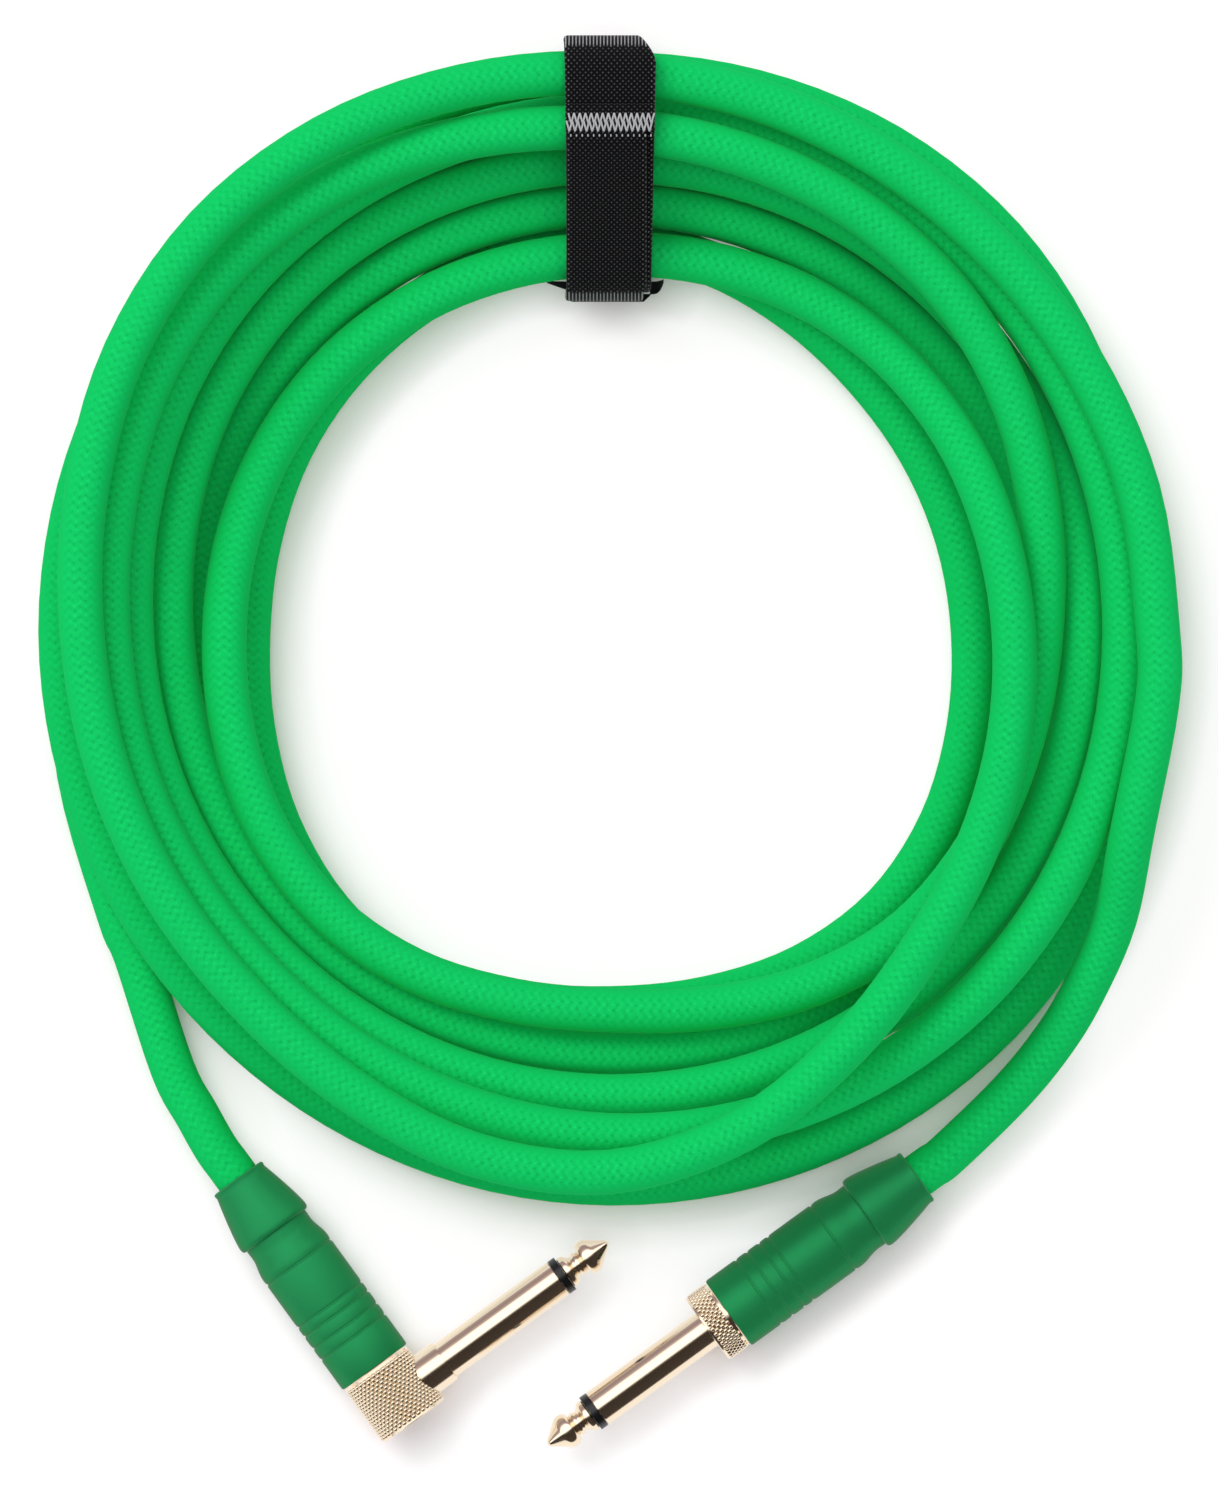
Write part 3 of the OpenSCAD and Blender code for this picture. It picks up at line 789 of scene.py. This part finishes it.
def ring_profile(at):
    end = at + RING_LEN
    return [(at, RING_BORE), (at, RING_R), (end, RING_R), (end, RING_BORE), (at, RING_BORE)]


def shell_profile():
    """Shell: waist, swell, grooves and a rounded front, with a step in its bore."""
    start_at = BOOT_LEN + 0.03
    bore = SPIGOT_R + 0.08
    points = [(start_at, bore), (start_at, WAIST_R)]
    points += [(SHELL_AT + 1.4 + 3.8 * i / 12, ease(WAIST_R - 0.05, SHELL_R, i / 12))
               for i in range(13)]
    groove = ((-0.7, 0), (-0.25, 0.06), (-0.1, 0.21), (0.1, 0.21), (0.25, 0.05), (0.5, 0))
    points += [(SHELL_AT + at + step, SHELL_R - sunk) for at in GROOVES for step, sunk in groove]
    points += [(FRONT_AT - 0.35, SHELL_R), (FRONT_AT - 0.1, SHELL_R - 0.1),
               (FRONT_AT, SHELL_R - 0.3), (FRONT_AT, INNER_R), (LEDGE_AT, INNER_R),
               (LEDGE_AT, bore), (start_at, bore)]
    return points


def boot_profile():
    """Boot: a bulging cone with a round lip, and the spigot that the shell turns on."""
    bore, spigot_end = CORD_R + 0.3, BOOT_LEN + 3.6
    points = [(0.4, bore), (0, CORD_R + 0.6), (0, 4.4), (0.1, 4.65), (0.3, 4.78)]
    points += [(0.9 + 8.6 * i / 10, 6.5 - 1.8 * (1 - i / 10) ** 1.25) for i in range(11)]
    points += [(9.9, 6.48), (10.2, 6.4), (10.4, 6.24), (BOOT_LEN, 6.0), (BOOT_LEN, SPIGOT_R),
               (spigot_end, SPIGOT_R), (spigot_end, bore), (0.4, bore)]
    return points


def thread(name, base, way):
    """Helical ridge on the spigot, seen once the shell is backed off."""
    ridge = draw(name, [Vector((0, THREAD_R + rise, z))
                        for rise, z in ((0, 0.15), (0.25, 0.6), (0, 1.05), (0, 0.15))])
    bpy.ops.mesh.select_all(action="SELECT")
    bpy.ops.mesh.remove_doubles(threshold=0.001 * M)
    bpy.ops.object.mode_set(mode="OBJECT")
    screw = ridge.modifiers.new("pitch", "SCREW")
    screw.screw_offset = THREAD_PITCH * M
    screw.iterations = THREAD_TURNS
    screw.steps = 48
    screw.render_steps = 48
    apply_all(ridge)
    open_all()
    bpy.ops.mesh.fill_holes(sides=3)
    bpy.ops.mesh.select_all(action="SELECT")
    bpy.ops.mesh.normals_make_consistent(inside=False)
    bpy.ops.object.mode_set(mode="OBJECT")
    turn = way.to_track_quat("Z", "Y").to_matrix().to_4x4()
    ridge.data.transform(Matrix.Translation((base + way * (THREAD_AT + 0.3)) * M) @ turn)
    return ridge


def back_rim():
    """Smooth rim beside the shell with a groove in it, as (station, radius)."""
    return [(COLLAR_AT - 0.3, THREAD_R), (COLLAR_AT, 5.3)] + [(COLLAR_AT + s, r) for s, r in (
        (0, CORE_R), (0.05, RIM_R), (0.14, RIM_R), (0.15, RIM_FLOOR), (0.45, RIM_FLOOR),
        (0.46, RIM_R), (RIM - 0.03, RIM_R), (RIM, CORE_R))]


def front_rim(end):
    """Narrow smooth rim where the knurl ends."""
    return [(end - FRONT_RIM, CORE_R), (end - 0.46, RIM_R), (end - 0.12, RIM_R),
            (end - 0.03, RIM_R - 0.08), (end, RIM_R - 0.25)]


def rim_bridges(name, base, way):
    """Bridges across the back rim's groove; what they leave open are short dark slots."""
    middle = base + way * (COLLAR_AT + 0.3) + UP * ((BRIDGE_FOOT + RIM_R) / 2)
    made = small_plane(name, middle, Matrix((way, UP, way.cross(UP))).transposed().to_euler())
    for vertex in made.data.vertices:
        along = (vertex.co - middle * M).dot(way)
        up = vertex.co.z - middle.z * M
        vertex.co = middle * M + way * along * BRIDGE + UP * up * (RIM_R - BRIDGE_FOOT)
    open_all()
    spin(base, way, 6, angle=0.55 * FULL_TURN / SLOTS)
    bpy.ops.mesh.select_all(action="SELECT")
    bpy.ops.mesh.remove_doubles(threshold=0.001 * M)
    bpy.ops.mesh.fill_holes(sides=4)
    spin(base, way, SLOTS, dupli=True)
    weld(0.001)
    close_smooth(CREASE)
    return made


def grip(name, base, way, end, painted_shade):
    """What collar and head both have: the knurl, the thread and the rim's bridges."""
    points = knurl(name + "_knurl", base, way, COLLAR_AT + RIM, end - FRONT_RIM)
    # the knurl's valleys get painted shade, as much as the last argument says
    return (mark_valley_shade(points, base, way, COLLAR_AT, end, painted_shade),
            thread(name + "_thread", base, way), rim_bridges(name + "_bridges", base, way))


def collar(base, way):
    """Knurled collar with its threaded spigot."""
    body = lathe("collar_body", base, way,
                 [(THREAD_AT, COLLAR_BORE), (THREAD_AT, THREAD_R)] + back_rim()
                 + front_rim(COLLAR_END) + [(COLLAR_END, COLLAR_BORE), (THREAD_AT, COLLAR_BORE)])
    return join("collar_body", body, *grip("collar", base, way, COLLAR_END, 1.0))


def head(base, way):
    """Right-angle head: knurled barrel with the shank's stepped foot on its side."""
    floor_at = FRONT_AT + SHANK_AT + 3
    body = lathe("head_body", base, way,
                 [(THREAD_AT, HEAD_BORE), (THREAD_AT, THREAD_R)] + back_rim()
                 + front_rim(HEAD_END) + [(HEAD_END, 0), (floor_at, 0), (floor_at, HEAD_BORE),
                                          (THREAD_AT, HEAD_BORE)])
    foot = lathe("head_foot", *shank(base, way),
                 [(FOOT_FROM, COLLAR_BORE), (FOOT_FROM, STEP_R), (STEP_REACH - 0.25, STEP_R),
                  (STEP_REACH - 0.05, STEP_R - 0.08), (STEP_REACH, STEP_R - 0.25),
                  (STEP_REACH, COLLAR_BORE), (FOOT_FROM, COLLAR_BORE)])
    return join("head_body", body, foot, *grip("head", base, way, HEAD_END, 0.4))


def shank(base, way):
    """Base and way of the shank that stands off the right-angle head."""
    return base + way * (FRONT_AT + SHANK_AT), UP.cross(way)


def build_plug(plug, base, way):
    """All pieces of one plug that turning makes, and the finishes of its inner ones."""
    if plug == "straight":
        jack = base, way
        seat_piece(collar(base, way), "cable", "straight_collar").name = "straight_collar_gold"
    else:
        jack = shank(base, way)
        seat_piece(head(base, way), "cable", "angled_head").name = "angled_head_gold"
    sleeve_from, shoulder, front, rod_from = JACK[plug]
    for node, look, axis, profile, body in (
            ("_sleeve", "_gold", jack, sleeve_profile(sleeve_from, shoulder, front), "cable"),
            ("_ring", "_black", jack, ring_profile(front + RING_GAP), "cable"),
            ("_tip", "_gold", jack, tip_profile(front + RING_LEN + 2 * RING_GAP, rod_from),
             "cable"),
            ("_shell", "_green", (base, way), shell_profile(), plug + "_cover"),
            ("_boot", "_green", (base, way), boot_profile(), plug + "_back")):
        piece = lathe(plug + node + look, *axis, profile)
        # the shell's green stays out of the gold's reflections
        piece.visible_glossy = node != "_shell"
        seat_piece(piece, body, plug + node)
    for inner in ("rod_tube", "back_washer", "tip_lug", "ground_clamp", "core_wire",
                  "screen_tail", "liner"):
        dress(plug + "_" + inner)


for side, (rear, rear_way) in PLUGS.items():
    build_plug(side, rear, rear_way)


# ---------------------------------------------------------------- tie

# corners of the line round the bundle, as (y, z) from the middle of the coil
CORNERS = [(60, CORD_R + TIE + SLACK), (90.7, CORD_R + TIE + SLACK), (90.7, 27.2), (80.6, 26.8),
           (60, 14.4)]
INSIDE = CORD_R + SLACK
STRAP_STEP = 0.5
END_FROM, END_TO = 0.05, 4.4   # the woven end, past the upper layer
EYE_WIDE, EYE_TALL = 19.6, 7


def facing_out(a, b):
    """Angle of the way out from the line that runs from a to b."""
    return math.degrees(math.atan2(-(b[0] - a[0]), b[1] - a[1]))


def arc(corner, r, from_deg, to_deg, steps):
    """Points of an arc about a corner."""
    angles = [math.radians(from_deg + (to_deg - from_deg) * k / steps) for k in range(steps + 1)]
    return [(corner[0] + r * math.cos(a), corner[1] + r * math.sin(a)) for a in angles]


SLOPE = facing_out(CORNERS[3], CORNERS[4])
CREST = facing_out(CORNERS[2], CORNERS[3])
LAYER = INSIDE + TIE + 0.3 + TIE / 2     # the upper layer's middle, from a corner
OUTER_FOLD = CORNERS[1][0] + INSIDE + TIE / 2
INNER_FOLD = CORNERS[0][0] - LAYER
STITCH_PITCH = 0.92
STITCH_ROW = 14.0
# how far out from the middle an ear's outer face thins, and where the ear begins
LEFT_EAR, RIGHT_EAR = (6.2, 6.7), (5.4, 6.4)
EAR_CUTS = (5.4, 5.9, 6.2, 6.4, 6.7, 6.95, 7.4, 7.9, 8.4, 8.9, 9.4)


def strap_loop(r):
    """Middle line of the band, once round the bundle."""
    line = []
    for i, corner in enumerate(CORNERS):
        a = facing_out(CORNERS[i - 1], corner)
        b = facing_out(corner, CORNERS[(i + 1) % len(CORNERS)])
        line += arc(corner, r, a, a + (b - a) % 360, 8)
    return line


def even(line, step, closed=False):
    """The same line with even steps."""
    points = [Vector(p) for p in line] + ([Vector(line[0])] if closed else [])
    marks = [0.0]
    for a, b in zip(points, points[1:]):
        marks.append(marks[-1] + (b - a).length)
    count = max(2, round(marks[-1] / step))
    out, k = [], 0
    for n in range(count + (0 if closed else 1)):
        want = marks[-1] * n / count
        while k < len(marks) - 2 and marks[k + 1] < want:
            k += 1
        span = marks[k + 1] - marks[k]
        out.append(points[k].lerp(points[k + 1], 0 if span == 0 else (want - marks[k]) / span))
    return out, marks[-1]


def webbing_section(thick):
    """Points round webbing with round edges, as (share of the width, inset, depth)."""
    edge = thick / 2
    rim = [(-1, edge - edge * math.cos(a), -edge * math.sin(a))
           for a in (-math.pi / 2, -math.pi / 4, 0, math.pi / 4, math.pi / 2)]
    top = [(share, 0, -edge) for share in (-0.5, 0, 0.5)]
    section = rim + top + [(1, -inset, depth) for _, inset, depth in reversed(rim)]
    return section + [(-share, 0, -depth) for share, _, depth in top]


def ribbon(name, line, thick, edges, closed=False, folded=None):
    """Webbing along a line of (y, z); UV in millimetres, across and along.

    edges gives the left and right edge, and folded how far the fold opens the threads,
    both for a point of the line.
    """
    line, length = even(line, STRAP_STEP, closed)
    section = webbing_section(thick)
    size, count = len(section), len(line)
    spans = count if closed else count - 1
    verts, across, opened, edge_highlight_marks = [], [], [], []
    for i, spot_yz in enumerate(line):
        before = line[(i - 1) % count] if closed else pick(line, i - 1)
        after = line[(i + 1) % count] if closed else pick(line, i + 1)
        ahead = (after - before).normalized()
        out = Vector((ahead.y, -ahead.x))
        left, right = edges(spot_yz)
        for share, inset, depth in section:
            x = (left + right) / 2 + share * (right - left) / 2 + inset
            y_z = spot_yz + out * -depth
            verts.append(Vector((HOME.x + x, HOME.y + y_z.x, y_z.y)) * M)
            across.append(x)
            edge_highlight_marks.append(float(abs(share) == 1))
            opened.append(folded(spot_yz) if folded else 0.0)
    faces, rings = [], []
    for i in range(spans):
        for k in range(size):
            a, b = i * size + k, i * size + (k + 1) % size
            c, d = ((i + 1) % count) * size + (k + 1) % size, ((i + 1) % count) * size + k
            faces.append((a, d, c, b))
            rings.append(i)
    if not closed:
        faces.append(tuple(range(size)))
        faces.append(tuple(reversed(range(len(verts) - size, len(verts)))))
    mesh = bpy.data.meshes.new(name)
    mesh.from_pydata(verts, [], faces)
    mark(mesh, "folded", opened)
    # 1 at the side edges, which get a painted highlight
    mark(mesh, "edge_highlight", edge_highlight_marks)
    layer = mesh.uv_layers.new(name="strap")
    for number, face in enumerate(mesh.polygons):
        face.use_smooth = number < len(rings)
        for loop in face.loop_indices:
            corner = mesh.loops[loop].vertex_index
            if number < len(rings):
                ring = rings[number] + (0 if corner // size == rings[number] else 1)
            else:
                ring = 0 if number == len(rings) else spans
            layer.data[loop].uv = (across[corner], ring * length / spans)
    piece = put(name, mesh)
    pick_out(piece)
    open_all()
    bpy.ops.mesh.normals_make_consistent(inside=False)
    bpy.ops.object.mode_set(mode="OBJECT")
    return piece, length


def inward(at):
    """0 at the outer fold, 1 at the fold beside the coil's eye."""
    return limit((OUTER_FOLD - at.x) / (OUTER_FOLD - INNER_FOLD))


def band_edges(at):
    """The band narrows towards the coil's eye, and to its narrow part at the outer fold."""
    taper = limit((at.x - OUTER_FOLD + 4.2) / 4.2)
    return -7.5 + 0.6 * math.sqrt(inward(at)), 7.45 - 0.85 * inward(at) - 2.4 * taper ** 2


def band_folded(at):
    """1 where the band bends upwards at the outer side, with its ribs open."""
    return limit((at.x - OUTER_FOLD + 1.9) / 0.5) * (at.y > 20)


def tail_edges(at):
    """The upper layer is wider to the left, and less so to the right, in its fold."""
    flare = limit((INNER_FOLD + 1.6 - at.x) / 0.8)
    return -7.05 - 0.2 * flare, 5.9 - 0.5 * flare


def tail_folded(at):
    """1 where the upper layer folds back beside the coil's eye."""
    return limit((INNER_FOLD + 1.5 - at.x) / 0.4)


def stitch_row(name, middle, tall, lean, thick, ahead, out):
    """One row of stitches: a zigzag of leaning legs, or running stitches where lean is 0."""
    clear_selection()
    for way in ((-1, 1) if lean else (1,)):
        run = (ahead * tall + Vector((way * lean, 0, 0))).normalized()
        side = out.cross(run).normalized()
        spot_at = middle + Vector((STITCH_PITCH * (0.25 if way < 0 else 0.75), 0, 0))
        turned = Matrix((side, out, run)).transposed().to_euler()
        bpy.ops.mesh.primitive_cylinder_add(vertices=6, radius=thick * M,
                                            depth=(tall + 0.1) * M, location=spot_at * M,
                                            rotation=turned)
        open_first()
    made = bpy.context.object
    made.name = name
    bpy.ops.mesh.select_all(action="SELECT")
    bpy.ops.mesh.bevel(offset=0.3 * thick * M, segments=1)
    close_smooth(50)
    repeat(made, int(STITCH_ROW / STITCH_PITCH), Vector((STITCH_PITCH, 0, 0)))
    return made


def stitches(name, line_from, ahead, out):
    """Two overlapping zigzag rows, and a fine row of running stitches at the hem."""
    rows = []
    for number, (start_at, tall, lean, thick) in enumerate((
            (0.0, 1.7, 0.46, 0.17), (1.25, 1.7, 0.46, 0.17), (-0.8, 0.3, 0, 0.12))):
        middle = line_from + ahead * (start_at + tall / 2) + out * (0.05 * (number == 1))
        middle += Vector((-7.0 + 0.3 * (number == 1), 0, 0))
        rows.append(stitch_row(name + "_%d" % number, middle, tall, lean, thick, ahead, out))
    return join(name, *rows)


def shape_ears(plate, centre, wide):
    """Beside the strap both ends swing to the bundle and run out as pointed ears.

    The left one is long and flat, the right one short and blunt.
    """
    for vertex in plate.data.vertices:
        right = vertex.co.x / M > centre.x
        out_by = abs(vertex.co.x / M - centre.x)
        thin_from, root = RIGHT_EAR if right else LEFT_EAR
        share = limit((out_by - root) / (wide / 2 - root))
        swing = limit((out_by - root) / 0.25)
        if vertex.co.y / M > centre.y:
            push = 2.0 * swing + (0.4 * share ** 3 if right else 0.1 * share)
        else:
            push = 0.9 * limit((out_by - thin_from) / (root - thin_from))
            push += 0.3 * swing + 1.9 * share ** 4 if right else 0.9 * swing + 1.2 * share
        vertex.co.x += (-1.15 if right else -0.4) * share * M
        vertex.co.y += push * M
        vertex.co.z += (centre.z * M - vertex.co.z) * 0.4 * share


def eye_plate(name, centre, wide, tall, thick):
    """Head of the tie: a plate with round corners and a slot, whose ends are pointed ears."""
    plate = small_plane(name, centre, (math.pi / 2, 0, 0))
    open_all()
    bpy.ops.transform.resize(value=(wide, 1, tall), center_override=tuple(centre * M))
    bpy.ops.mesh.bevel(offset=1.6 * M, segments=5, affect="VERTICES")
    bpy.ops.mesh.inset(thickness=1.7 * M)
    bpy.ops.mesh.delete(type="FACE")
    bpy.ops.object.mode_set(mode="OBJECT")
    wall = plate.modifiers.new("wall", "SOLIDIFY")
    wall.thickness = thick * M
    wall.offset = 0
    soft = plate.modifiers.new("soft", "BEVEL")
    soft.width = 0.45 * thick * M
    soft.segments = 3
    soft.limit_method = "ANGLE"
    apply_all(plate)
    open_all()
    weld(0.001)
    for cut in EAR_CUTS:
        for side in (-1, 1):
            bpy.ops.mesh.select_all(action="SELECT")
            bpy.ops.mesh.bisect(plane_co=(centre + Vector((side * cut, 0, 0))) * M,
                                plane_no=(1, 0, 0))
    bpy.ops.object.mode_set(mode="OBJECT")
    shape_ears(plate, centre, wide)
    close_smooth(40)
    return plate


def tie():
    """The strap, its upper layer with the sewn end, and the slotted head."""
    band, band_long = ribbon("tie_band_webbing", strap_loop(INSIDE + TIE / 2), TIE, band_edges,
                             closed=True, folded=band_folded)
    seat_piece(band, "cable", "tie_band")
    fold = [(CORNERS[4][0] - LAYER, CORNERS[4][1] - 1.5)]
    fold += arc(CORNERS[4], LAYER, 180, SLOPE, 8) + arc(CORNERS[3], LAYER, SLOPE, CREST, 4)
    tail, tail_long = ribbon("tie_tail_webbing", fold, TIE, tail_edges, folded=tail_folded)
    seat_piece(tail, "tail", "tie_tail")
    last = Vector(fold[-1])
    crest = math.radians(CREST)
    ahead = Vector((math.sin(crest), -math.cos(crest)))
    end, _ = ribbon("tie_end_webbing", [last + ahead * END_FROM, last + ahead * END_TO], TIE,
                    lambda at: (-7.2, 7.2))
    seat_piece(end, "tail", "tie_end")
    # the end's own cloth is the strap's black; its thread is the pale part
    coat(end, "strap_fabric")
    out = Vector((0, math.cos(crest), math.sin(crest)))
    top = HOME + Vector((0, last.x, last.y)) + out * (TIE / 2 + 0.02)
    sewing = stitches("tie_end_stitches", top, Vector((0, ahead.x, ahead.y)), out)
    coat(sewing, "strap_woven_end")
    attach(sewing, "tail")
    eye_y = CORNERS[0][0] - INSIDE - 1.5 * TIE - 0.3
    eye_top = CORNERS[4][1] - 3
    eye = eye_plate("tie_eye_webbing", HOME + Vector((0, eye_y, eye_top - EYE_TALL / 2)),
                    EYE_WIDE, EYE_TALL, TIE)
    seat_piece(eye, "cable", "tie_eye")


tie()
